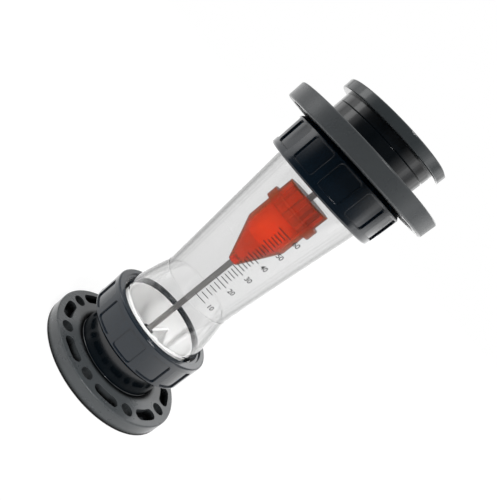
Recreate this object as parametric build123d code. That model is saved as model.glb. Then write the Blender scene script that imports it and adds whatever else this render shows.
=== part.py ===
"""Flanged rotameter: a tapered clear tube held between two plastic unions with loose DN100 flanges.

A weighted float rides on a central guide rod, and the liquid lifts it to the height of its flow.
Millimetres, +Z up along the flow. The origin is the centre of the lower sealing face.
"""

from build123d import *
import math
import os

os.makedirs("parts", exist_ok=True)

# Whole instrument
total_length = 470.0
running_clearance = 0.05
seat_clearance = 0.3
cut_margin = 1.0

# Flange adapters: the sealing collar and the spigot that is cemented into the union end
flow_bore_radius = 52.0
collar_width = 9.5
collar_thickness = 12.0
collar_edge_radius = 1.5
neck_shoulder = 6.0
adapter_shoulder_height = 23.5
spigot_wall = 6.0
spigot_length = 18.5
cement_clearance = 0.1
cement_end_gap = 0.5
joint_chamfer = 0.7

# Union ends: neck, threaded head, seats for the rod support and the tube seal
union_face_height = 92.0
union_step_thickness = 3.5
union_neck_wall = 4.2
thread_wall = 10.2
thread_length = 25.0
thread_chamfer = 1.2
seal_circle_margin = 4.8
seal_ring_radius = 2.1
seal_groove_width = 4.8

# Rod supports: a sleeve inside the end, with vanes that carry the hub of the guide rod
sleeve_wall = 3.2
sleeve_top_height = 106.8
sleeve_rim_width = 3.0
sleeve_rim_thickness = 3.0
sleeve_clearance = 0.3
hub_radius = 10.0
hub_bottom_height = 60.0
hub_height = 10.0
vane_count = 4
vane_thickness = 4.0
vane_bottom_height = 54.0
vane_height = 26.0
vane_angle = 75.0
vane_root = 0.5

# Union nuts
nut_grip_thickness = 7.0
nut_height = 47.7
nut_wall = 4.6
nut_thread_clearance = 0.4
nut_roof_thickness = 8.0
nut_opening_clearance = 3.0
nut_rim_width = 4.0
nut_rim_depth = 2.2
nut_edge_radius = 2.5
nut_end_chamfer = 4.6
nut_window_count = 12
nut_window_width = 30.0
nut_window_height = 32.0
nut_window_corner = 3.5
nut_window_lip = 0.7
nut_window_top_gap = 8.8
lower_nut_window_angle = 4.0
upper_nut_window_angle = 9.0

# Loose flanges
flange_edge_margin = 17.5
flange_thickness = 21.5
flange_bore_clearance = 1.0
flange_edge_radius = 2.0
flange_recess_depth = 11.2
flange_recess_clearance = 0.8
bolt_circle_margin = 16.5
bolt_hole_radius = 9.0
bolt_count = 8
pocket_circle_offset = 1.0
pocket_width = 15.0
pocket_arc = 24.0
pocket_depth = 12.0

# Measuring tube
tube_wall = 4.3
tube_collar_setback = 1.0
tube_collar_thickness = 8.9
tube_bore_clearance = 0.4
tube_foot_margin = 3.2
bulb_narrowing = 4.1
bulb_middle_rise = 27.0
waist_narrowing = 12.0
waist_rise = 59.5
waist_bead = 0.5
waist_bead_height = 1.6
head_widening = 1.0
tube_head_setback = 22.0

# Guide rod, its nuts and the float stops
rod_radius = 4.0
rod_end_height = 51.5
rod_fit_clearance = 0.1
rod_end_chamfer = 0.8
rod_nut_flats = 13.0
rod_nut_height = 6.5
washer_radius = 8.0
washer_thickness = 1.6
stop_radius = 8.0
stop_thickness = 4.0
stop_sleeve_radius = 6.5
stop_sleeve_length = 22.9

# Float: lower shell, cap, ribbed core and guide bushes
float_rise_share = 0.9066
float_tip_radius = 6.8
float_cone_height = 54.0
float_radius = 31.2
float_wall = 2.4
float_ring_radius = 36.2
float_ring_bottom = 86.5
float_ring_height = 13.5
float_cap_height = 19.5
float_joint_clearance = 0.1
float_spigot_height = 10.0
core_radius = 24.0
core_bore_radius = 7.0
core_root_radius = 20.5
core_rib_count = 10
core_rib_width = 6.0
core_rib_root = 1.0
core_plain_top = 86.0
bush_radius = 6.4
tip_bush_radius = 5.7
bush_length = 9.0

middle = total_length / 2
spigot_radius = flow_bore_radius + spigot_wall
neck_radius = spigot_radius + neck_shoulder
collar_radius = neck_radius + collar_width
bolt_circle_radius = collar_radius + bolt_circle_margin
pocket_circle_radius = bolt_circle_radius + pocket_circle_offset
flange_radius = bolt_circle_radius + flange_edge_margin
sleeve_outer_radius = neck_radius - union_neck_wall
sleeve_rim_radius = sleeve_outer_radius + sleeve_rim_width
seal_circle_radius = sleeve_rim_radius + seal_circle_margin
thread_radius = sleeve_rim_radius + thread_wall
nut_radius = thread_radius + nut_grip_thickness
tube_collar_radius = thread_radius - tube_collar_setback
tube_foot_radius = sleeve_outer_radius + tube_bore_clearance + tube_wall
bulb_middle_radius = tube_foot_radius - bulb_narrowing
waist_radius = tube_foot_radius - waist_narrowing
tube_head_radius = tube_foot_radius + head_widening
nut_opening_radius = tube_foot_radius + nut_opening_clearance
nut_rim_radius = nut_opening_radius + nut_rim_width
union_neck_bottom = adapter_shoulder_height
socket_depth = spigot_length + cement_end_gap
socket_top = union_neck_bottom + socket_depth
sleeve_bottom = socket_top + union_step_thickness
thread_bottom = union_face_height - thread_length
nut_seat = union_face_height + tube_collar_thickness + seat_clearance
nut_top = nut_seat + nut_roof_thickness
nut_bottom = nut_top - nut_height
nut_bore_radius = thread_radius + nut_thread_clearance
flange_bottom = collar_thickness + seat_clearance - flange_recess_depth
flange_travel = nut_bottom - seat_clearance - flange_thickness - flange_bottom
hub_top = hub_bottom_height + hub_height
lower_stop_bottom = hub_top + washer_thickness + rod_nut_height
lower_stop_top = lower_stop_bottom + stop_thickness
upper_stop_top = total_length - lower_stop_bottom - stop_sleeve_length
upper_stop_bottom = upper_stop_top - stop_thickness
tube_foot_height = sleeve_top_height + tube_foot_margin
bulb_middle_height = tube_foot_height + bulb_middle_rise
waist_height = tube_foot_height + waist_rise
tube_head_height = total_length - union_face_height - tube_head_setback
float_ring_top = float_ring_bottom + float_ring_height
float_height = float_ring_top + float_cap_height
float_lowest_tip = lower_stop_top + seat_clearance
float_travel = upper_stop_bottom - seat_clearance - float_height - float_lowest_tip
float_tip_height = float_lowest_tip + float_rise_share * float_travel
float_top_height = float_tip_height + float_height
cone_slope = (float_radius - float_tip_radius) / float_cone_height
cone_wall_across = float_wall * math.hypot(1, cone_slope)
cavity_bottom_height = float_tip_height + bush_length + float_wall
cavity_bottom_radius = float_tip_radius + cone_slope * (bush_length + float_wall) - cone_wall_across


def cavity_height(radius):
    """Height at which the float's hollow cone reaches a radius."""
    return float_tip_height + (radius + cone_wall_across - float_tip_radius) / cone_slope


def turned(*points):
    """One solid of revolution about Z from (radius, height) corners."""
    return revolve(make_face(Plane.XZ * Polyline(*points, close=True)), Axis.Z)


def tube_of(outer, inner, bottom, top):
    """A plain ring between two heights."""
    return turned((inner, bottom), (outer, bottom), (outer, top), (inner, top))


def at_upper_end(solid):
    """The same piece at the other end of the instrument."""
    return mirror(solid, about=Plane.XY.offset(middle))


def edges_at(solid, radius, height):
    """The circular edges of one radius at one height."""
    return [
        edge
        for edge in solid.edges().filter_by(GeomType.CIRCLE)
        if abs(edge.radius - radius) < 0.01 and abs(edge.center().Z - height) < 0.01
    ]


def make_adapter():
    """Collar with the sealing face, neck and spigot, turned in one piece."""
    body = turned(
        (flow_bore_radius, 0),
        (collar_radius, 0),
        (collar_radius, collar_thickness),
        (neck_radius, collar_thickness),
        (neck_radius, adapter_shoulder_height),
        (spigot_radius, adapter_shoulder_height),
        (spigot_radius, adapter_shoulder_height + spigot_length),
        (flow_bore_radius, adapter_shoulder_height + spigot_length),
    )
    rim = edges_at(body, collar_radius, 0) + edges_at(body, collar_radius, collar_thickness)
    body = fillet(rim, collar_edge_radius)
    body = chamfer(edges_at(body, neck_radius, adapter_shoulder_height), joint_chamfer)
    return chamfer(edges_at(body, spigot_radius, adapter_shoulder_height + spigot_length), joint_chamfer)


def make_union_end():
    """Socket for the spigot, neck, threaded head, support seat and seal groove."""
    socket_radius = spigot_radius + cement_clearance
    seat_radius = sleeve_outer_radius + sleeve_clearance
    rim_seat_radius = sleeve_rim_radius + sleeve_clearance
    body = turned(
        (socket_radius, union_neck_bottom),
        (neck_radius, union_neck_bottom),
        (neck_radius, thread_bottom),
        (thread_radius, thread_bottom),
        (thread_radius, union_face_height),
        (rim_seat_radius, union_face_height),
        (rim_seat_radius, union_face_height - sleeve_rim_thickness),
        (seat_radius, union_face_height - sleeve_rim_thickness),
        (seat_radius, sleeve_bottom),
        (flow_bore_radius, sleeve_bottom),
        (flow_bore_radius, socket_top),
        (socket_radius, socket_top),
    )
    body = chamfer(edges_at(body, neck_radius, union_neck_bottom), joint_chamfer)
    thread_ends = edges_at(body, thread_radius, thread_bottom)
    thread_ends += edges_at(body, thread_radius, union_face_height)
    body = chamfer(thread_ends, thread_chamfer)
    groove_bottom = union_face_height - 2 * seal_ring_radius
    groove = tube_of(
        seal_circle_radius + seal_groove_width / 2,
        seal_circle_radius - seal_groove_width / 2,
        groove_bottom,
        union_face_height + cut_margin,
    )
    return body - groove


def make_tube_seal():
    """Ring of round section in the groove of the union end's face."""
    height = union_face_height - seal_ring_radius
    return Pos(0, 0, height) * Torus(seal_circle_radius, seal_ring_radius - running_clearance)


def make_rod_support():
    """Sleeve with a rim that the tube clamps, a hub and the vanes between them."""
    inner_radius = sleeve_outer_radius - sleeve_wall
    body = turned(
        (inner_radius, sleeve_bottom),
        (sleeve_outer_radius, sleeve_bottom),
        (sleeve_outer_radius, union_face_height - sleeve_rim_thickness),
        (sleeve_rim_radius, union_face_height - sleeve_rim_thickness),
        (sleeve_rim_radius, union_face_height),
        (sleeve_outer_radius, union_face_height),
        (sleeve_outer_radius, sleeve_top_height),
        (inner_radius, sleeve_top_height),
    )
    hub_middle = hub_bottom_height + hub_height / 2
    vane_start = hub_radius - vane_root
    vane_end = inner_radius + vane_root
    vane = Pos((vane_start + vane_end) / 2, 0, vane_bottom_height + vane_height / 2)
    vane *= Box(vane_end - vane_start, vane_thickness, vane_height)
    for number in range(vane_count):
        body += Rot(0, 0, vane_angle + number * 360 / vane_count) * vane
    body += Pos(0, 0, hub_middle) * Cylinder(hub_radius, hub_height)
    return body - Pos(0, 0, hub_middle) * Cylinder(rod_radius + rod_fit_clearance, hub_height + cut_margin)


def window_cut(height, margin, floor_radius):
    """The space of one window, from a round floor outwards."""
    width = nut_window_width + 2 * margin
    outline = Plane.XZ * RectangleRounded(width, nut_window_height + 2 * margin, nut_window_corner + margin)
    reach = extrude(Pos(0, 0, height) * outline, nut_radius + cut_margin)
    return reach - Pos(0, 0, height) * Cylinder(floor_radius, nut_height)


def make_union_nut(window_angle):
    """Grip ring with recessed windows in shallow lips, an end chamfer and a stepped opening."""
    chamfer_edge = nut_bottom + nut_end_chamfer
    body = turned(
        (nut_bore_radius, nut_bottom),
        (nut_radius - nut_end_chamfer, nut_bottom),
        (nut_radius, chamfer_edge),
        (nut_radius, nut_top),
        (nut_rim_radius, nut_top),
        (nut_rim_radius, nut_top - nut_rim_depth),
        (nut_opening_radius, nut_top - nut_rim_depth),
        (nut_opening_radius, nut_seat),
        (nut_bore_radius, nut_seat),
    )
    body = fillet(edges_at(body, nut_radius, nut_top), nut_edge_radius)
    window_middle = nut_top - nut_window_top_gap - nut_window_height / 2
    recess = window_cut(window_middle, 0, nut_bore_radius + nut_wall)
    recess += window_cut(window_middle, nut_window_lip, nut_radius - nut_window_lip)
    for number in range(nut_window_count):
        body -= Rot(0, 0, window_angle + number * 360 / nut_window_count) * recess
    return body


def make_flange():
    """Loose backing flange: bolt holes between blind moulding pockets, recess for the collar."""
    flange_top = flange_bottom + flange_thickness
    bore_radius = neck_radius + flange_bore_clearance
    recess_radius = collar_radius + flange_recess_clearance
    recess_top = flange_bottom + flange_recess_depth
    body = turned(
        (recess_radius, flange_bottom),
        (flange_radius, flange_bottom),
        (flange_radius, flange_top),
        (bore_radius, flange_top),
        (bore_radius, recess_top),
        (recess_radius, recess_top),
    )
    rim = edges_at(body, flange_radius, flange_bottom) + edges_at(body, flange_radius, flange_top)
    body = fillet(rim, flange_edge_radius)
    hole_height = flange_bottom + flange_thickness / 2
    hole = Pos(0, -bolt_circle_radius, hole_height)
    hole *= Cylinder(bolt_hole_radius, flange_thickness + cut_margin)
    half_arc = pocket_arc / 2 - math.degrees(pocket_width / 2 / pocket_circle_radius)
    spine = CenterArc((0, 0), pocket_circle_radius, -90 - half_arc, 2 * half_arc)
    outline = SlotArc(spine, pocket_width)
    pocket = extrude(Pos(0, 0, flange_top - pocket_depth) * outline, pocket_depth + cut_margin)
    step = 360 / bolt_count
    for number in range(bolt_count):
        body -= Rot(0, 0, number * step) * hole
        body -= Rot(0, 0, (number + 0.5) * step) * pocket
    return body


def tube_side(inset):
    """The tube's side line from foot to head, moved inwards by a wall."""
    foot = (tube_foot_radius - inset, tube_foot_height)
    bulb = (bulb_middle_radius - inset, bulb_middle_height)
    waist = (waist_radius - inset, waist_height)
    head = (tube_head_radius - inset, tube_head_height)
    return ThreePointArc(foot, bulb, waist) + Line(waist, head)


def make_measuring_tube():
    """Clear tube: bell-shaped foot, waist, slow taper to the head, and a clamping collar at each end."""
    bottom = union_face_height
    top = total_length - union_face_height
    lower_collar_top = bottom + tube_collar_thickness
    upper_collar_bottom = top - tube_collar_thickness
    foot_bore = tube_foot_radius - tube_wall
    head_bore = tube_head_radius - tube_wall
    outline = tube_side(0) + tube_side(tube_wall)
    outline += Polyline(
        (tube_head_radius, tube_head_height),
        (tube_head_radius, upper_collar_bottom),
        (tube_collar_radius, upper_collar_bottom),
        (tube_collar_radius, top),
        (head_bore, top),
        (head_bore, tube_head_height),
    )
    outline += Polyline(
        (tube_foot_radius, tube_foot_height),
        (tube_foot_radius, lower_collar_top),
        (tube_collar_radius, lower_collar_top),
        (tube_collar_radius, bottom),
        (foot_bore, bottom),
        (foot_bore, tube_foot_height),
    )
    body = revolve(make_face(Plane.XZ * outline), Axis.Z)
    half_bead = waist_bead_height / 2
    bead = turned(
        (waist_radius - tube_wall / 2, waist_height - half_bead),
        (waist_radius + waist_bead, waist_height - half_bead),
        (waist_radius + waist_bead, waist_height + half_bead),
        (waist_radius - tube_wall / 2, waist_height + half_bead),
    )
    return body + bead


def make_guide_rod():
    """Straight round bar with chamfered ends."""
    length = total_length - 2 * rod_end_height
    body = Pos(0, 0, middle) * Cylinder(rod_radius, length)
    ends = edges_at(body, rod_radius, rod_end_height)
    ends += edges_at(body, rod_radius, total_length - rod_end_height)
    return chamfer(ends, rod_end_chamfer)


def make_rod_nut(bottom):
    """Hexagon nut with rounded corners at both faces."""
    middle_height = bottom + rod_nut_height / 2
    hexagon = RegularPolygon(rod_nut_flats / 2, 6, major_radius=False)
    prism = extrude(Pos(0, 0, bottom) * hexagon, rod_nut_height)
    corner_radius = rod_nut_flats / math.sqrt(3)
    rounding = Pos(0, 0, middle_height) * Cylinder(corner_radius, rod_nut_height)
    rounding = chamfer(rounding.edges().filter_by(GeomType.CIRCLE), corner_radius - rod_nut_flats / 2)
    bore = Pos(0, 0, middle_height) * Cylinder(rod_radius + running_clearance, rod_nut_height + cut_margin)
    return (prism & rounding) - bore


def on_rod(radius, bottom, top):
    """A plain ring that the rod passes through."""
    return tube_of(radius, rod_radius + running_clearance, bottom, top)


def make_float_shell():
    """Lower shell: cone, short barrel and the spigot for the cap."""
    tip = float_tip_height
    cone_top = tip + float_cone_height
    barrel_top = tip + float_ring_bottom
    spigot_outer = float_radius - float_wall - float_joint_clearance
    spigot_inner = spigot_outer - float_wall
    bore = tip_bush_radius + float_joint_clearance
    return turned(
        (bore, tip),
        (float_tip_radius, tip),
        (float_radius, cone_top),
        (float_radius, barrel_top),
        (spigot_outer, barrel_top),
        (spigot_outer, barrel_top + float_spigot_height),
        (spigot_inner, barrel_top + float_spigot_height),
        (spigot_inner, cavity_height(spigot_inner)),
        (cavity_bottom_radius, cavity_bottom_height),
        (bore, cavity_bottom_height),
    )


def make_float_cap():
    """Upper shell: the metering ring, the short barrel over the spigot and the top."""
    bottom = float_tip_height + float_ring_bottom
    ring_top = float_tip_height + float_ring_top
    top = float_top_height
    inner = float_radius - float_wall
    return turned(
        (inner, bottom),
        (float_ring_radius, bottom),
        (float_ring_radius, ring_top),
        (float_radius, ring_top),
        (float_radius, top),
        (bush_radius + float_joint_clearance, top),
        (bush_radius + float_joint_clearance, top - float_wall),
        (inner, top - float_wall),
    )


def make_float_core():
    """Ballast inside the float: a nose that seats in the cone, a plain drum and ribs above."""
    top = float_top_height - float_wall
    plain_top = float_tip_height + core_plain_top
    nose_bottom = cavity_bottom_height + float_joint_clearance
    body = turned(
        (core_bore_radius, nose_bottom),
        (cavity_bottom_radius - float_joint_clearance, nose_bottom),
        (core_radius, cavity_height(core_radius) + 2 * float_joint_clearance),
        (core_radius, plain_top),
        (core_root_radius, plain_top),
        (core_root_radius, top),
        (core_bore_radius, top),
    )
    rib_start = core_root_radius - core_rib_root
    rib = Pos((rib_start + core_radius) / 2, 0, (plain_top + top) / 2)
    rib *= Box(core_radius - rib_start, core_rib_width, top - plain_top)
    for number in range(core_rib_count):
        body += Rot(0, 0, number * 360 / core_rib_count) * rib
    return body


def make_parts():
    """Every piece of the instrument by name."""
    adapter = make_adapter()
    union_end = make_union_end()
    support = make_rod_support()
    seal = make_tube_seal()
    flange = make_flange()
    rod_nut = make_rod_nut(hub_bottom_height - rod_nut_height)
    lock_nut = make_rod_nut(hub_top + washer_thickness)
    washer = on_rod(washer_radius, hub_top, hub_top + washer_thickness)
    stop_sleeve_top = total_length - lower_stop_bottom
    return {
        "measuring_tube": make_measuring_tube(),
        "lower_flange_adapter": adapter,
        "upper_flange_adapter": at_upper_end(adapter),
        "lower_union_end": union_end,
        "upper_union_end": at_upper_end(union_end),
        "lower_rod_support": support,
        "upper_rod_support": at_upper_end(support),
        "lower_tube_seal": seal,
        "upper_tube_seal": at_upper_end(seal),
        "lower_union_nut": make_union_nut(lower_nut_window_angle),
        "upper_union_nut": at_upper_end(make_union_nut(upper_nut_window_angle)),
        "lower_flange": flange,
        "upper_flange": Pos(0, 0, -flange_travel) * at_upper_end(flange),
        "guide_rod": make_guide_rod(),
        "lower_rod_nut": rod_nut,
        "lower_rod_lock_nut": lock_nut,
        "lower_rod_washer": washer,
        "upper_rod_nut": at_upper_end(rod_nut),
        "upper_rod_lock_nut": at_upper_end(lock_nut),
        "upper_rod_washer": at_upper_end(washer),
        "lower_float_stop": on_rod(stop_radius, lower_stop_bottom, lower_stop_top),
        "upper_float_stop": on_rod(stop_radius, upper_stop_bottom, upper_stop_top),
        "upper_stop_sleeve": on_rod(stop_sleeve_radius, upper_stop_top, stop_sleeve_top),
        "float_shell": make_float_shell(),
        "float_cap": make_float_cap(),
        "float_core": make_float_core(),
        "float_tip_bush": on_rod(tip_bush_radius, float_tip_height, float_tip_height + bush_length),
        "float_top_bush": on_rod(bush_radius, float_top_height - bush_length, float_top_height),
    }


for name, solid in make_parts().items():
    export_step(solid, f"parts/{name}.step")
    print(name, round(solid.volume))
print("flange travel", flange_travel)
print("float travel down", float_tip_height - float_lowest_tip)
print("float travel up", float_travel - (float_tip_height - float_lowest_tip))
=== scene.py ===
# %% [markdown]
# # A flanged rotameter, finished in Blender
# A rotameter shows how much liquid runs through a pipe. The liquid lifts a float in a clear tapered
# tube, and the float stands still where the ring of space round it is wide enough for the flow.
# This one is made of grey PVC: a loose flange, a cemented neck and a union nut at each end, with a
# clear tube and a red float between them. Its shapes could be modelled in Blender, but pieces that
# seat on each other are drawn more exactly in CAD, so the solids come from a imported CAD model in
# metres. This script gives them their finishes, prints the scale on the tube, and sets up the
# studio and the camera.

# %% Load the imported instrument
import math

import bmesh
import bpy
from mathutils import Matrix, Vector


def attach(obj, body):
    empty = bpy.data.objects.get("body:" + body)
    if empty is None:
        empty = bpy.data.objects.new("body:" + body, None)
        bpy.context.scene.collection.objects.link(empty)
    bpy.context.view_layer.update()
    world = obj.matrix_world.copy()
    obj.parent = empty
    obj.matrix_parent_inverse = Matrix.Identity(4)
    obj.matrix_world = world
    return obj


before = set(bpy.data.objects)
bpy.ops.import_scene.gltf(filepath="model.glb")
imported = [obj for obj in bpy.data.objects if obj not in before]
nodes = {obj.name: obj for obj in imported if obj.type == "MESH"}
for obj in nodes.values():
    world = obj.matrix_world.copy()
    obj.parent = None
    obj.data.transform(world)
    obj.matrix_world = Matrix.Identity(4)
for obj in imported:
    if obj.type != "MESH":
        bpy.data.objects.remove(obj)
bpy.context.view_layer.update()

# %% [markdown]
# ## The camera
# The camera comes first, because every finish is judged through it. The instrument stands upright
# here, and the photograph shows it leaning, so the camera is rolled instead of the instrument. A
# camera can be set by eye, but this one was found by matching the circles of the flanges, nuts and
# collars: where it stands, where it looks, how far it is rolled, and its focal length in pixels.
# The picture is a crop whose optical axis is left of the middle. That becomes a lens shift, because
# turning the camera instead would change the perspective.

# %% Place the camera
frame_width = 497
frame_height = 500
camera_distance = 0.6643
camera_height = 0.3906
camera_azimuth = math.radians(3.1)
camera_yaw = math.radians(-9.99)
camera_pitch = math.radians(-18.23)
camera_roll = math.radians(47.89)
focal_length_px = 538.2
axis_px = Vector((140.0, 220.0))
sensor_width = 36.0
nearest_seen = 0.01


def add_object(name, data):
    """A new object with this data, put into the scene."""
    thing = bpy.data.objects.new(name, data)
    bpy.context.scene.collection.objects.link(thing)
    return thing


def camera_matrix():
    """Where the camera stands and how it is turned, with its local -Z looking forwards."""
    level = math.cos(camera_pitch)
    ahead = (math.sin(camera_yaw) * level, math.cos(camera_yaw) * level, math.sin(camera_pitch))
    forward = Vector(ahead)
    right = Vector((math.cos(camera_yaw), -math.sin(camera_yaw), 0))
    up = right.cross(forward)
    rolled_right = math.cos(camera_roll) * right + math.sin(camera_roll) * up
    rolled_up = math.cos(camera_roll) * up - math.sin(camera_roll) * right
    matrix = Matrix((rolled_right, rolled_up, -forward)).transposed().to_4x4()
    matrix.translation = (0, -camera_distance, camera_height)
    return Matrix.Rotation(camera_azimuth, 4, "Z") @ matrix


def place_camera():
    """The photograph's camera, with its focal length and shift from pixel values."""
    lens = bpy.data.cameras.new("studio_camera")
    long_side = max(frame_width, frame_height)
    lens.sensor_width = sensor_width
    lens.lens = focal_length_px * sensor_width / long_side
    lens.shift_x = (frame_width / 2 - axis_px.x) / long_side
    lens.shift_y = (axis_px.y - frame_height / 2) / long_side
    lens.clip_start = nearest_seen
    placed = add_object("studio_camera", lens)
    placed.matrix_world = camera_matrix()
    bpy.context.scene.camera = placed
    return placed


camera = place_camera()
print("lens:", round(camera.data.lens, 2), "mm")
print("shift:", round(camera.data.shift_x, 3), round(camera.data.shift_y, 3))

# %% [markdown]
# ## A short way to write node trees
# Finishes and prints are trees of nodes. They can be wired by hand in the editor, but in a script
# they are easier to read as formulas. A Wire is one output of a node, and plus, minus, times and
# divide on wires add Math nodes.

# %% Wires
class Wire:
    """One output socket of a node. Arithmetic on it adds Math nodes."""

    def __init__(self, tree, socket):
        self.tree = tree
        self.socket = socket

    def math(self, operation, *values):
        """A Math node on these values."""
        return self.tree.node("ShaderNodeMath", {"operation": operation}, dict(enumerate(values)))

    def __add__(self, other):
        return self.math("ADD", self, other)

    def __radd__(self, other):
        return self.math("ADD", other, self)

    def __sub__(self, other):
        return self.math("SUBTRACT", self, other)

    def __rsub__(self, other):
        return self.math("SUBTRACT", other, self)

    def __mul__(self, other):
        return self.math("MULTIPLY", self, other)

    def __rmul__(self, other):
        return self.math("MULTIPLY", other, self)

    def __truediv__(self, other):
        return self.math("DIVIDE", self, other)


print("signs that wires understand: + - * /")

# %% [markdown]
# ## One method for every node
# Blender has hundreds of kinds of nodes. Each could get a function of its own, but they all need the
# same three steps: make the node, change its settings, and fill its sockets. So every node comes
# from one method, Tree.node, which takes the node's type, its settings, and the values or wires of
# its sockets. A few short methods beside it stand for what the finishes ask for most.

# %% Trees
class Tree:
    """A node tree that is being wired."""

    def __init__(self, tree):
        self.tree = tree

    def node(self, kind, settings=None, inputs=None, output=0):
        """Adds one node and returns one of its outputs as a wire."""
        made = self.tree.nodes.new(kind)
        for name, value in (settings or {}).items():
            if name == "stops":
                set_stops(made.color_ramp, value)
            elif name == "curve":
                set_curve(made.mapping, value)
            else:
                setattr(made, name, value)
        for name, value in (inputs or {}).items():
            if isinstance(value, Wire):
                self.tree.links.new(value.socket, made.inputs[name])
            else:
                made.inputs[name].default_value = value
        return Wire(self, made.outputs[output]) if made.outputs else made

    def axes(self, vector):
        """The X, Y and Z of a vector, as three wires."""
        split = self.node("ShaderNodeSeparateXYZ", {}, {0: vector}).socket.node
        return [Wire(self, socket) for socket in split.outputs]

    def length(self, vector):
        """How long a vector is."""
        return self.node("ShaderNodeVectorMath", {"operation": "LENGTH"}, {0: vector}, output=1)

    def mix_colours(self, factor, first, second):
        """A colour between two colours."""
        colours = {0: factor, 6: first, 7: second}
        return self.node("ShaderNodeMix", {"data_type": "RGBA"}, colours, output=2)

    def mix_shaders(self, factor, first, second):
        """The first shader where the factor is 0, the second where it is 1."""
        return self.node("ShaderNodeMixShader", {}, {0: factor, 1: first, 2: second})


def set_stops(ramp, stops):
    """Gives a colour ramp its (position, brightness) stops."""
    while len(ramp.elements) < len(stops):
        ramp.elements.new(1)
    for element, (position, brightness) in zip(ramp.elements, stops):
        element.position = position
        element.color = (brightness, brightness, brightness, 1)


def set_curve(mapping, points):
    """Leads the curve of a Float Curve node through (x, y) points."""
    curve = mapping.curves[0]
    while len(curve.points) < len(points):
        curve.points.new(0.5, 0.5)
    for point, place in zip(curve.points, points):
        point.location = place
    mapping.update()


print("short methods of a tree: axes, length, mix_colours, mix_shaders")

# %% [markdown]
# ## Which ray is asking
# The photograph is a cut-out on white, yet the glossy grey plastic mirrors a bright room with a dark
# side behind the camera. One plain world can't be both. Blender counts for each ray how often it was
# scattered, mirrored and let through on its way. Those counts tell four kinds of ray apart, and the
# world and the floor answer each kind with a brightness of its own. Is Glossy Ray would be simpler,
# but it knows only the last bounce, so it can't tell a ray that was mirrored inside the clear tube
# from one that was mirrored outside it.

# %% Tell the rays apart
def path_ray(tree, name):
    """An output of the Light Path node, such as "Is Camera Ray" or "Glossy Depth"."""
    return tree.node("ShaderNodeLightPath", output=name)


def ray_kinds(tree):
    """1 or 0 for a ray from the camera, through clear plastic, mirrored, and mirrored within it."""
    depths = ("Diffuse Depth", "Glossy Depth", "Transmission Depth")
    counts = [path_ray(tree, name) for name in depths]
    diffuse, glossy, clear = [count.math("MINIMUM", count, 1.0) for count in counts]
    through = clear * (1.0 - glossy) * (1.0 - diffuse)
    mirrored = glossy * (1.0 - clear) * (1.0 - diffuse)
    within = glossy * clear * (1.0 - diffuse)
    return path_ray(tree, "Is Camera Ray"), through, mirrored, within


print("kinds of ray: direct, through clear plastic, mirrored, mirrored within clear plastic")

# %% [markdown]
# ## The room
# Smooth PVC shows its surroundings as pale edges and nearly black fronts. The room could be built of
# walls, or be a picture of a studio, but a few numbers in the world are easier to steer. The world
# is white where the camera or clear plastic sees it. In mirror reflections it is bright at the sides
# and dark towards the viewer, with soft patches, because no real room is even. Light mirrored within
# the tube's wall is dim, because a bright one veils the red float. All other rays get plain room
# light.

# %% Make the room
room_light = 0.6
reflected_sides = 1.0
reflected_viewer = 0.05
viewer_side = (0.15, 0.8)
patch_cells = 2.4
patch_noise = (0.35, 0.65)
patch_brightness = (0.55, 1.45)
wall_glint = 0.3
white = (1, 1, 1, 1)


def faded(tree, value, start, end, first, last):
    """Leads a value smoothly from first to last between start and end."""
    span = {"Value": value, "From Min": start, "From Max": end, "To Min": first, "To Max": last}
    return tree.node("ShaderNodeMapRange", {"interpolation_type": "SMOOTHSTEP"}, span)


def noise(tree, place, cells, detail=2.0, roughness=0.5):
    """Soft noise from 0 to 1, with this many cells in one unit of length."""
    settings = {"Vector": place, "Scale": cells, "Detail": detail, "Roughness": roughness}
    return tree.node("ShaderNodeTexNoise", {}, settings)


def make_world():
    """White where it is seen, dimmer as light, and shaped like a room in mirror reflections."""
    world = bpy.data.worlds.new("studio")
    bpy.context.scene.world = world
    world.use_nodes = True
    world.node_tree.nodes.clear()
    tree = Tree(world.node_tree)
    direction = tree.node("ShaderNodeTexCoord", output="Generated")
    towards_viewer = tree.axes(direction)[1] * -1.0
    room = faded(tree, towards_viewer, *viewer_side, reflected_sides, reflected_viewer)
    patches = noise(tree, direction, patch_cells)
    room = room * faded(tree, patches, *patch_noise, *patch_brightness)
    direct, through, mirrored, within = ray_kinds(tree)
    rest = 1.0 - direct - through - mirrored - within
    strength = direct + through + mirrored * room + within * wall_glint + rest * room_light
    shader = tree.node("ShaderNodeBackground", {}, {"Color": white, "Strength": strength})
    tree.node("ShaderNodeOutputWorld", {}, {"Surface": shader})
    return world


world = make_world()
print("world:", world.name, "with", len(world.node_tree.nodes), "nodes")

# %% [markdown]
# ## The floor
# A white sheet under the instrument carries its shadow. A matt sheet alone would turn grey further
# out and show a horizon, and a glowing one would lose the shadow. So the floor is a mixture of both:
# partly matt near the instrument, and a plain white glow further out. In mirror reflections it
# follows the room: dark in front, bright behind, and brighter on the right.

# %% Lay the floor
floor_size = 40.0
floor_white = (0.9, 0.9, 0.9, 1)
floor_glow_near = 0.75
floor_brightness = 1.12
floor_fade = (0.35, 1.2)
floor_reflection = 1.35
floor_viewer_side = (0.35, 0.95)
floor_right_side = (0.1, 0.4)
floor_right_gain = 1.7


def start_material(name):
    """An empty material and its tree."""
    material = bpy.data.materials.new(name)
    material.use_nodes = True
    material.node_tree.nodes.clear()
    return material, Tree(material.node_tree)


def object_place(tree):
    """Places in metres on the piece, so that a pattern moves with it."""
    return tree.node("ShaderNodeTexCoord", output="Object")


def show(tree, shader):
    """The last node of a material."""
    tree.node("ShaderNodeOutputMaterial", {}, {"Surface": shader})


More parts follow.
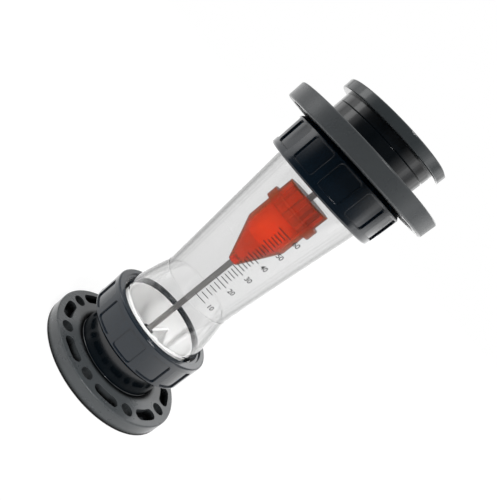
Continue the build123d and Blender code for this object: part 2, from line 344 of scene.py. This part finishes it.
def floor_material():
    """Matt white near the instrument, and a glow further out and in reflections."""
    material, tree = start_material("studio_floor")
    place = object_place(tree)
    rightwards, away, _ = tree.axes(place)
    glow_share = faded(tree, tree.length(place), *floor_fade, floor_glow_near, 1.0)
    sheen = faded(tree, away * -1.0, *floor_viewer_side, floor_reflection, reflected_viewer)
    sheen = sheen * faded(tree, rightwards, *floor_right_side, 1.0, floor_right_gain)
    direct, through, mirrored, within = ray_kinds(tree)
    strength = direct * floor_brightness + through + mirrored * sheen + within * wall_glint
    matt = tree.node("ShaderNodeBsdfDiffuse", {}, {"Color": floor_white})
    glow = tree.node("ShaderNodeEmission", {}, {"Color": white, "Strength": strength})
    show(tree, tree.mix_shaders((direct + through) * glow_share + mirrored + within, matt, glow))
    return material


def make_floor():
    """A wide square sheet at the height of the lower sealing face."""
    half = floor_size / 2
    corners = [(-half, -half, 0), (half, -half, 0), (half, half, 0), (-half, half, 0)]
    mesh = bpy.data.meshes.new("studio_floor")
    mesh.from_pydata(corners, [], [(0, 1, 2, 3)])
    floor = add_object("studio_floor", mesh)
    mesh.materials.append(floor_material())
    return floor


floor = make_floor()
print("floor:", floor.dimensions.x, "m wide")

# %% [markdown]
# ## The lamps
# Four soft lamps stand round the instrument. A small key lamp in front gives the narrow bright
# lines, and large weak ones fill the sides and the back. Three spot lamps light places that would
# stay too dark: the foot of the tube, the float, and the face of the lower flange. A stronger key
# lamp would reach them too, but it would burn out all that is bright already. The spots are hidden
# from mirror reflections, so they add light and no highlight of their own. The Standard view shows
# the colours as they are written.

# %% Set the lamps
middle = Vector((0, 0, 0.235))
spot_soft_edge = 0.3
spot_radius = 0.06
# name, place, width, height, radiance
soft_lamps = (
    ("key_lamp", (0.75, -1.3, 1.6), 0.3, 0.3, 45.0),
    ("left_lamp", (-1.6, -0.3, 0.9), 0.5, 1.4, 1.5),
    ("right_lamp", (1.7, -0.2, 0.6), 0.35, 1.2, 0.8),
    ("back_lamp", (0.7, 1.7, 1.2), 1.4, 0.8, 1.6),
)
# name, place, target, beam in degrees, power in watts
spot_lamps = (
    ("foot_lamp", (-0.8, -1.1, 0.85), (0, 0.01, 0.085), 5.5, 72.0),
    ("float_lamp", (-0.7, -1.3, 0.55), (0, 0, 0.29), 6.5, 48.0),
    ("flange_lamp", (0.1, -1.0, 1.9), (0.02, -0.07, 0.03), 6.0, 120.0),
)


def aim_lamp(name, light, place, target):
    """Adds a lamp turned towards a point. The camera and clear plastic don't see it."""
    lamp = add_object(name, light)
    lamp.location = place
    lamp.rotation_euler = (Vector(target) - Vector(place)).to_track_quat("-Z", "Y").to_euler()
    lamp.visible_camera = False
    lamp.visible_transmission = False
    return lamp


def make_lamp(name, place, width, height, radiance):
    """A soft rectangular lamp. Its power is what gives its surface this brightness."""
    light = bpy.data.lights.new(name, "AREA")
    light.shape = "RECTANGLE"
    light.size = width
    light.size_y = height
    light.energy = radiance * math.pi * width * height
    return aim_lamp(name, light, place, middle)


def make_spot(name, place, target, beam_degrees, power):
    """A narrow lamp that lights one place only, and that no glossy surface mirrors."""
    light = bpy.data.lights.new(name, "SPOT")
    light.spot_size = math.radians(beam_degrees)
    light.spot_blend = spot_soft_edge
    light.shadow_soft_size = spot_radius
    light.energy = power
    lamp = aim_lamp(name, light, place, target)
    lamp.visible_glossy = False
    return lamp


lamps = [make_lamp(*row) for row in soft_lamps] + [make_spot(*row) for row in spot_lamps]
bpy.context.scene.view_settings.view_transform = "Standard"
for lamp in lamps:
    print(lamp.name, round(lamp.data.energy, 2), "W")

# %% [markdown]
# ## Collars and painted shade in recesses
# Some places on a moulded piece look different from the rest of it. The collars stick out furthest,
# and they are given a lighter grey than the necks. The flange's pockets and its face next to the
# neck are painted dark and matt. This is painted shade, where little light reaches in. Such places
# could be painted by hand, or have materials of their own. Here the shape itself tells where they
# are: the distance from the axis finds a collar, and an Ambient Occlusion node finds what is closed
# in. Its value chooses between two shaders.

# %% Tint the collars and paint shade into the recesses
collar_edge = (0.0655, 0.068)
recess_reach = 0.010
recess_samples = 8
recess_openness = (0.75, 0.97)
# Painted shade: in recesses the colour falls to this share of the piece's own colour.
painted_recess_shade = 0.03
recess_roughness = 0.8
recess_shine = 0.05


def shaded(colour, share):
    """A colour made darker or lighter."""
    return tuple(channel * share for channel in colour) + (1,)


def collar_tint(tree, place, tint, outer):
    """Leads a tint over to the lighter colour of the collar, further from the axis."""
    flat = {0: place, 1: (1, 1, 0)}
    across = tree.node("ShaderNodeVectorMath", {"operation": "MULTIPLY"}, flat)
    collar = faded(tree, tree.length(across), *collar_edge, 0.0, 1.0)
    return tree.mix_colours(collar, tint, outer + (1,))


def matt_in_recesses(tree, colour, shader):
    """Paints shade: a dark matt skin replaces a shader where the piece closes in on itself."""
    reach = {"Distance": recess_reach}
    openness = tree.node(
        "ShaderNodeAmbientOcclusion", {"samples": recess_samples}, reach, output=1
    )
    # A dark matt skin as painted shade, where the Ambient Occlusion node finds the piece closed in.
    skin = {
        "Base Color": shaded(colour, painted_recess_shade),
        "Roughness": recess_roughness,
        "Specular IOR Level": recess_shine,
    }
    matt = tree.node("ShaderNodeBsdfPrincipled", {}, skin)
    return tree.mix_shaders(faded(tree, openness, *recess_openness, 0.0, 1.0), matt, shader)


print("a collar starts", round(collar_edge[0] * 1000, 1), "mm from the axis")

# %% [markdown]
# ## Moulded plastic
# The flanges, nuts and necks are injection moulded PVC. Such plastic is never one even grey: its
# pigment clouds a little, its skin has a faint orange peel from the mould, and handling leaves
# patches that shine less. Its edges are never sharp. The mesh could be bevelled, but a Bevel node
# rounds only the light on it, and leaves the CAD model's faces alone. One function makes all the
# moulded plastics, so that they differ only in colour, gloss and grain.

# %% Finish the moulded plastics
cloud_cells = 14.0
cloud_detail = 3.0
speck_cells = 420.0
speck_detail = 1.0
speck_share = 0.3
handling_cells = 33.0
handling_detail = 4.0
handling_roughness = 0.6
least_roughness = 0.8
handled_roughness = 0.4
peel_strength = 0.5
plastic_ior = 1.53
edge_rounding = 0.0005
edge_samples = 4


def moulded_plastic(name, colour, roughness, clouding=0.12, peel_size=0.0025, peel_depth=0.00004,
                    outer=None, shine=0.5, recesses=False):
    """Opaque plastic with clouded pigment, patchy gloss, orange peel and rounded edges.

    outer is the lighter colour of a piece's collar. recesses paints shade into its pockets as a
    dark matt skin."""
    material, tree = start_material(name)
    place = object_place(tree)
    clouds = noise(tree, place, cloud_cells, cloud_detail)
    tint = tree.mix_colours(clouds, shaded(colour, 1 - clouding), shaded(colour, 1 + clouding))
    if outer:
        tint = collar_tint(tree, place, tint, outer)
    handling = noise(tree, place, handling_cells, handling_detail, handling_roughness)
    gloss = roughness * least_roughness + handling * (roughness * handled_roughness)
    specks = noise(tree, place, speck_cells, speck_detail)
    peel = noise(tree, place, 1 / peel_size) + specks * speck_share
    rounded = tree.node("ShaderNodeBevel", {"samples": edge_samples}, {"Radius": edge_rounding})
    skin = {"Strength": peel_strength, "Distance": peel_depth, "Height": peel, "Normal": rounded}
    look = {
        "Base Color": tint,
        "Roughness": gloss,
        "Normal": tree.node("ShaderNodeBump", {}, skin),
        "IOR": plastic_ior,
        "Specular IOR Level": shine,
    }
    shader = tree.node("ShaderNodeBsdfPrincipled", {}, look)
    show(tree, matt_in_recesses(tree, colour, shader) if recesses else shader)
    return material


# The collars are a lighter grey than the nearly black necks of the same pieces.
collar_grey = (0.034, 0.040, 0.043)
pipe_grey = moulded_plastic("pipe_grey", (0.002, 0.004, 0.006), 0.14, outer=collar_grey)
nut_grey = moulded_plastic("nut_grey", (0.001, 0.005, 0.010), 0.16)
# The flange gets painted shade in its pockets and on its face next to the neck.
flange_grey = moulded_plastic(
    "flange_grey", (0.048, 0.053, 0.056), 0.28, shine=0.35, recesses=True
)
support_white = moulded_plastic("support_white", (0.88, 0.88, 0.87), 0.35, clouding=0.02)
seal_black = moulded_plastic("seal_black", (0.012, 0.012, 0.013), 0.55, peel_size=0.001)
bush_red = moulded_plastic("bush_red", (0.6, 0.03, 0.015), 0.35)
core_red = moulded_plastic("core_red", (0.70, 0.13, 0.0), 0.35, clouding=0.05)
for plastic in (pipe_grey, nut_grey, flange_grey, support_white, seal_black, bush_red, core_red):
    print(plastic.name, "has", len(plastic.node_tree.nodes), "nodes")

# %% [markdown]
# ## Clear and tinted plastic
# The tube is a clear moulding, and the float's shell is a see-through red. Both are glass shaders
# with the plastic's own refraction. Lamps can't shine through such a shader by themselves, so a
# Transparent shader stands in for shadow rays, in the colour that the wall would let through.
#
# Seen edge on, the tube's wall is darker, and a thin line shows inside its outline. Part of the
# darkening is real, because light goes a long way through the wall. The rest of it, and the line,
# is a painted reflection of the darker surroundings that a real tube shows at its edges. A volume
# shader could give the real part, but it is slow and grainy. Here a Layer Weight node tells how far
# the wall turns away from the eye, and a colour ramp makes that a brightness.

# %% Finish the clear tube and the float's shell
wipe_cells = 22.0
wipe_detail = 3.0
wipe_roughness = 0.03
facing_blend = 0.5
# Painted reflection: the wall's brightness falls towards its edge, with a thin dark line inside it.
painted_wall_edge = (
    (0.0, 0.88),
    (0.42, 0.89),
    (0.47, 0.74),
    (0.50, 0.88),
    (0.68, 0.88),
    (0.8, 0.6),
    (1.0, 0.3),
)


def wall_tint(tree, stops):
    """The painted shade of a clear wall by how far it turns away from the eye: a darker edge and
    line.
    """
    turned = tree.node("ShaderNodeLayerWeight", {}, {"Blend": facing_blend}, output=1)
    return tree.node("ShaderNodeValToRGB", {"stops": stops}, {0: turned})


def clear_plastic(name, shadow, ior, colour=None, edge=None, clarity=1.0):
    """See-through plastic whose shadow is light, and which is less polished in patches.

    It has one colour, or a brightness with a painted darker edge and thin line, given by stops."""
    material, tree = start_material(name)
    look = {
        "Base Color": wall_tint(tree, edge) if edge else colour,
        "Roughness": noise(tree, object_place(tree), wipe_cells, wipe_detail) * wipe_roughness,
        "IOR": ior,
        "Transmission Weight": clarity,
    }
    shader = tree.node("ShaderNodeBsdfPrincipled", {}, look)
    let_through = tree.node("ShaderNodeBsdfTransparent", {}, {"Color": shadow})
    show(tree, tree.mix_shaders(path_ray(tree, "Is Shadow Ray"), shader, let_through))
    return material


# The tube's wall carries the painted edge shade and line.
tube_clear = clear_plastic("tube_clear", (0.97, 0.97, 0.975, 1), 1.49, edge=painted_wall_edge)
float_tint = clear_plastic(
    "float_tint", (0.95, 0.75, 0.7, 1), 1.45, colour=(0.88, 0.16, 0.03, 1), clarity=0.88
)
print("clear plastics:", tube_clear.name, float_tint.name)

# %% [markdown]
# ## Drawn steel
# The guide rod and its nuts are stainless steel. Drawing leaves fine scratches along a bar. They
# could be a photograph of steel, but noise needs no picture and never repeats. Squeezing the places
# along Z turns its round cells into long lines, which change both the gloss and the bumps.

# %% Finish the steel
steel_colour = (0.52, 0.51, 0.50, 1)
drawing_squeeze = (1, 1, 0.02)
scratch_cells = 2500.0
scratch_strength = 0.4
scratch_depth = 0.00002
steel_roughness = 0.24
scratched_roughness = 0.16


def drawn_steel(name):
    """Stainless steel with fine lines along Z."""
    material, tree = start_material(name)
    squeezed = {"Vector": object_place(tree), "Scale": drawing_squeeze}
    lines = noise(tree, tree.node("ShaderNodeMapping", {}, squeezed), scratch_cells)
    scratches = {"Strength": scratch_strength, "Distance": scratch_depth, "Height": lines}
    look = {
        "Base Color": steel_colour,
        "Metallic": 1.0,
        "Roughness": steel_roughness + lines * scratched_roughness,
        "Normal": tree.node("ShaderNodeBump", {}, scratches),
    }
    show(tree, tree.node("ShaderNodeBsdfPrincipled", {}, look))
    return material


steel = drawn_steel("drawn_steel")
print("steel:", steel.name, "with", len(steel.node_tree.nodes), "nodes")

# %% [markdown]
# ## Which piece gets which finish
# Each node of the CAD model is one piece of the instrument, made of one material. The finishes could
# be dragged onto the pieces one by one in the editor. A table by name does the same every time the
# script runs, and it stops with an error if a piece is forgotten. Both ends of the instrument are
# made of the same pieces, so one loop dresses both.

# %% Give every node its finish
finishes = {
    "measuring_tube": tube_clear,
    "guide_rod": steel,
    "float_shell": float_tint,
    "float_cap": float_tint,
    "float_core": core_red,
    "float_tip_bush": bush_red,
    "float_top_bush": bush_red,
    "upper_stop_sleeve": support_white,
}
end_finishes = {
    "flange_adapter": pipe_grey,
    "union_end": pipe_grey,
    "union_nut": nut_grey,
    "flange": flange_grey,
    "rod_support": support_white,
    "tube_seal": seal_black,
    "float_stop": seal_black,
    "rod_nut": steel,
    "rod_lock_nut": steel,
    "rod_washer": steel,
}
for end in ("lower", "upper"):
    for part, finish in end_finishes.items():
        finishes[f"{end}_{part}"] = finish
for name, node in nodes.items():
    node.data.materials.clear()
    node.data.materials.append(finishes[name])
print("dressed:", len(finishes), "of", len(nodes))

# %% [markdown]
# ## The cone that carries the print
# The tube carries a black printed scale from 10 to 60 in steps of 2. Its marks and numbers could be
# an image on the tube, but an image blurs from close by, and real ink has a little thickness. So the
# print is made flat first: X is the angle round the tube in radians, Y the height and Z the
# thickness of the ink. Then one small group of geometry nodes wraps such a flat drawing onto the
# cone of the tube. The marks and the numbers share that group.

# %% Wrap a flat drawing onto the cone of the tube
cone_foot_height = 0.1695
cone_head_height = 0.356
cone_foot_radius = 0.0525
cone_head_radius = 0.0655
cone_slope = (cone_head_radius - cone_foot_radius) / (cone_head_height - cone_foot_height)
ink_lift = 0.00002
ink_thickness = 0.00006


def new_geometry_tree(name, inputs):
    """A geometry tree with named inputs of (socket type, default) and one geometry output."""
    group = bpy.data.node_groups.new(name, "GeometryNodeTree")
    interface = group.interface
    for label, (kind, default) in inputs.items():
        socket = interface.new_socket(label, in_out="INPUT", socket_type=kind)
        if default is not None:
            socket.default_value = default
    interface.new_socket("Geometry", in_out="OUTPUT", socket_type="NodeSocketGeometry")
    tree = Tree(group)
    given = group.nodes.new("NodeGroupInput")
    return group, tree, {label: Wire(tree, given.outputs[label]) for label in inputs}


def make_wrap_group():
    """Bends a flat drawing (angle, height, thickness) onto a cone that stands on Z."""
    group, tree, given = new_geometry_tree(
        "wrap_on_cone",
        {
            "Geometry": ("NodeSocketGeometry", None),
            "Foot height": ("NodeSocketFloat", cone_foot_height),
            "Foot radius": ("NodeSocketFloat", cone_foot_radius),
            "Slope": ("NodeSocketFloat", cone_slope),
            "Lift": ("NodeSocketFloat", ink_lift),
        },
    )
    angle, height, thickness = tree.axes(tree.node("GeometryNodeInputPosition"))
    tube_radius = given["Foot radius"] + given["Slope"] * (height - given["Foot height"])
    radius = tube_radius + given["Lift"] + thickness
    x = radius * angle.math("SINE", angle)
    y = radius * angle.math("COSINE", angle) * -1.0
    on_cone = tree.node("ShaderNodeCombineXYZ", {}, {0: x, 1: y, 2: height})
    moved = {"Geometry": given["Geometry"], "Position": on_cone}
    placed = tree.node("GeometryNodeSetPosition", {}, moved)
    tree.node("NodeGroupOutput", {}, {"Geometry": placed})
    return group


wrap_group = make_wrap_group()
print("the tube widens by", round(cone_slope * 1000, 1), "mm of radius in a metre of height")

# %% [markdown]
# ## From a flat drawing to a print
# Every print ends in the same way: the drawing is wrapped on the cone, made real faces, and given
# its ink, which is a dull black plastic. The tree could stay on the print as a live modifier, but
# other programs can't read one. So the tree runs once on a draft object, and its result is kept as a
# plain mesh that belongs to the tube's body.

# %% Make prints
black = (0.012, 0.012, 0.012)


def finish_print(tree, geometry, ink):
    """The last nodes of a print: wrap it, make it real faces and give it its ink."""
    on_cone = tree.node("GeometryNodeGroup", {"node_tree": wrap_group}, {"Geometry": geometry})
    realized = tree.node("GeometryNodeRealizeInstances", {}, {"Geometry": on_cone})
    inked = tree.node("GeometryNodeSetMaterial", {}, {"Geometry": realized, "Material": ink})
    tree.node("NodeGroupOutput", {}, {"Geometry": inked})


def plain_mesh(draft):
    """The mesh that Blender works out for a draft object. The draft is taken away."""
    evaluated = draft.evaluated_get(bpy.context.evaluated_depsgraph_get())
    mesh = bpy.data.meshes.new_from_object(evaluated)
    bpy.data.objects.remove(draft)
    return mesh


def print_on_tube(name, flat_mesh, group):
    """Runs a geometry tree over a flat drawing, as a plain mesh that rides with the meter."""
    draft = add_object(name + "_draft", flat_mesh)
    draft.modifiers.new("print", "NODES").node_group = group
    mesh = plain_mesh(draft)
    mesh.name = name
    piece = add_object(name, mesh)
    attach(piece, "meter")
    return piece


scale_ink = moulded_plastic("scale_ink", black, 0.4, peel_size=0.0008, peel_depth=0.00001)
print("ink:", scale_ink.name, round(ink_thickness * 1000, 3), "mm thick")

# %% [markdown]
# ## The marks of the scale
# A mark is a thin line of ink, and every fifth one is longer. The marks stand closer together as the
# tube widens. Twenty-six bars could be placed one by one, but geometry nodes make them from a rule:
# one point for each mark, a curve that leads from the reading to its height, and one bar on each
# point. Each bar is cut into strips across, so that it can bend round the tube. The bars have to be
# real faces before they are wrapped, because moving an instance doesn't bend it.

# %% Print the marks
first_reading = 10
last_reading = 60
reading_step = 2
readings_per_long_mark = 5
major_heights = {10: 0.1832, 20: 0.2155, 30: 0.2409, 40: 0.2637, 50: 0.286, 60: 0.3085}
line_width = 0.001
long_mark = (math.radians(6.5), math.radians(23.5))
short_mark = (math.radians(9.0), math.radians(20.5))
bar_columns = 9
half_a_mark = 0.5


def height_curve():
    """The knots of the curve from the reading to the height, both as shares from 0 to 1."""
    span = major_heights[last_reading] - major_heights[first_reading]
    knots = []
    for reading, height in major_heights.items():
        along = (reading - first_reading) / (last_reading - first_reading)
        knots.append((along, (height - major_heights[first_reading]) / span))
    return knots


def make_marks_tree(ink):
    """One thin bar for each mark, at the height that the curve gives for its reading."""
    count = (last_reading - first_reading) // reading_step + 1
    group, tree, given = new_geometry_tree(
        "scale_marks",
        {
            "Marks": ("NodeSocketInt", count),
            "Marks per long mark": ("NodeSocketInt", readings_per_long_mark),
            "First height": ("NodeSocketFloat", major_heights[first_reading]),
            "Last height": ("NodeSocketFloat", major_heights[last_reading]),
            "Long start": ("NodeSocketFloat", long_mark[0]),
            "Long end": ("NodeSocketFloat", long_mark[1]),
            "Short start": ("NodeSocketFloat", short_mark[0]),
            "Short end": ("NodeSocketFloat", short_mark[1]),
            "Line width": ("NodeSocketFloat", line_width),
            "Ink thickness": ("NodeSocketFloat", ink_thickness),
        },
    )
    number = tree.node("GeometryNodeInputIndex")
    share = number / (given["Marks"] - 1.0)
    rise = tree.node("ShaderNodeFloatCurve", {"curve": height_curve()}, {"Value": share})
    height = given["First height"] + rise * (given["Last height"] - given["First height"])
    minor = number.math("MODULO", number, given["Marks per long mark"])
    is_long = minor.math("COMPARE", minor, 0.0, half_a_mark)
    start = is_long * (given["Long start"] - given["Short start"]) + given["Short start"]
    end = is_long * (given["Long end"] - given["Short end"]) + given["Short end"]
    place = tree.node("ShaderNodeCombineXYZ", {}, {0: (start + end) * 0.5, 1: height, 2: 0.0})
    row = {"Count": given["Marks"], "Offset": (0, 0, 0)}
    points = tree.node("GeometryNodeMeshLine", {}, row)
    placed = tree.node("GeometryNodeSetPosition", {}, {"Geometry": points, "Position": place})
    bar = tree.node("GeometryNodeMeshCube", {}, {"Size": (1, 1, 1), "Vertices X": bar_columns})
    size = {0: end - start, 1: given["Line width"], 2: given["Ink thickness"]}
    scale = tree.node("ShaderNodeCombineXYZ", {}, size)
    laid = {"Points": placed, "Instance": bar, "Scale": scale}
    bars = tree.node("GeometryNodeInstanceOnPoints", {}, laid)
    finish_print(tree, tree.node("GeometryNodeRealizeInstances", {}, {"Geometry": bars}), ink)
    return group


marks = print_on_tube("scale_marks", bpy.data.meshes.new("empty"), make_marks_tree(scale_ink))
print("marks:", len(marks.data.polygons), "faces")

# %% [markdown]
# ## The numbers of the scale
# The plain numbers 10 to 60 stand beside the long marks. A font object gives their shape, with a
# little thickness for the ink and a small offset that makes the strokes bolder. It is made a mesh,
# and its width is divided by the tube's radius at its height, because the flat drawing counts
# angles. Faces that are too large would cut through the cone, so they are subdivided before they
# are wrapped.

# %% Print the numbers
number_angle = math.radians(32.5)
number_cuts = 2
digit_height = 0.0066
digit_share_of_size = 0.729
digit_boldness = 0.00012


def flat_number(reading):
    """The mesh of one number, drawn flat where it goes: angle, height, thickness."""
    curve = bpy.data.curves.new("number", "FONT")
    curve.body = str(reading)
    curve.size = digit_height / digit_share_of_size
    curve.align_x = "CENTER"
    curve.align_y = "CENTER"
    curve.extrude = ink_thickness / 2
    curve.offset = digit_boldness
    mesh = plain_mesh(add_object("number", curve))
    height = major_heights[reading]
    radius = cone_foot_radius + cone_slope * (height - cone_foot_height)
    place = Matrix.Translation((number_angle, height, ink_thickness / 2))
    mesh.transform(place @ Matrix.Diagonal((1 / radius, 1, 1, 1)))
    return mesh


def make_numbers_tree(ink):
    """Cuts the faces of the numbers finely enough to bend, and wraps them."""
    group, tree, given = new_geometry_tree(
        "scale_numbers",
        {"Geometry": ("NodeSocketGeometry", None), "Cuts": ("NodeSocketInt", number_cuts)},
    )
    whole = {"Mesh": given["Geometry"], "Level": given["Cuts"]}
    finish_print(tree, tree.node("GeometryNodeSubdivideMesh", {}, whole), ink)
    return group


drawing = bmesh.new()
for reading in major_heights:
    drawing.from_mesh(flat_number(reading))
numbers_mesh = bpy.data.meshes.new("numbers")
drawing.to_mesh(numbers_mesh)
drawing.free()
numbers = print_on_tube("scale_numbers", numbers_mesh, make_numbers_tree(scale_ink))
print("numbers:", len(numbers.data.polygons), "faces")
